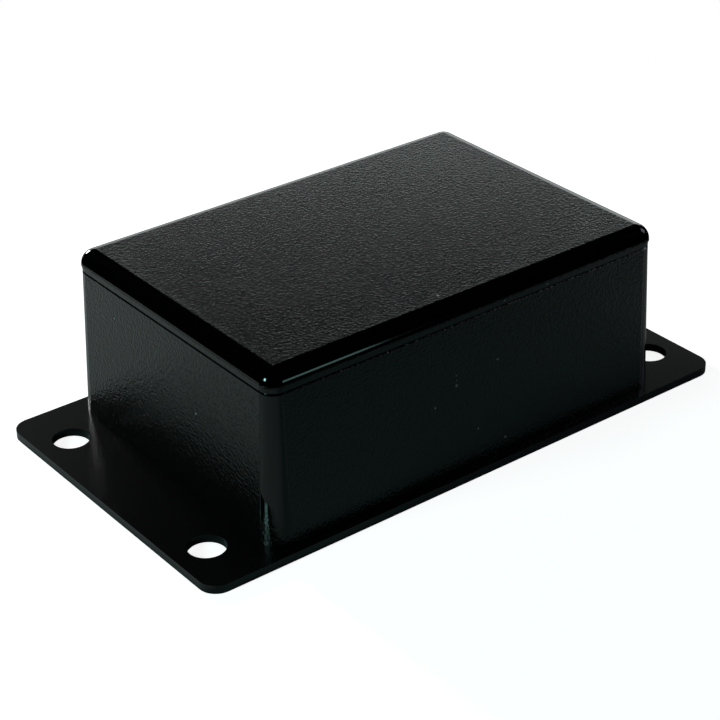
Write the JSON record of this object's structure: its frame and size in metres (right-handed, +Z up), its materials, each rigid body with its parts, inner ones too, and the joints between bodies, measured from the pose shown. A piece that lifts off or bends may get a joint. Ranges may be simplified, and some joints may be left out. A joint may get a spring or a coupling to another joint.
{
  "type": "flanged plastic project box",
  "caption": "Small black flanged project box: a drafted open tub moulded in one with its mounting flange, board pillars inside, and a push-fit lid with a polished rounded edge.",
  "frame": {"origin": "middle of the underside", "axes": "+X along the length of the box and flange, +Z up out of the lid"},
  "size_m": [0.1014, 0.057, 0.0301],
  "materials": {
    "tub_plastic": "black ABS, fine spark-eroded texture on the walls, semi-gloss flange",
    "lid_plastic": "black ABS, fine textured top and band, polished rounded edge"
  },
  "bodies": {
    "tub": {"tub": "tub_plastic"},
    "lid": {"lid": "lid_plastic"}
  },
  "joints": [
    {"name": "lid_lift", "type": "slide", "parent": "tub", "child": "lid", "axis": [0, 0, 1], "range_m": [0, 0.05]}
  ]
}
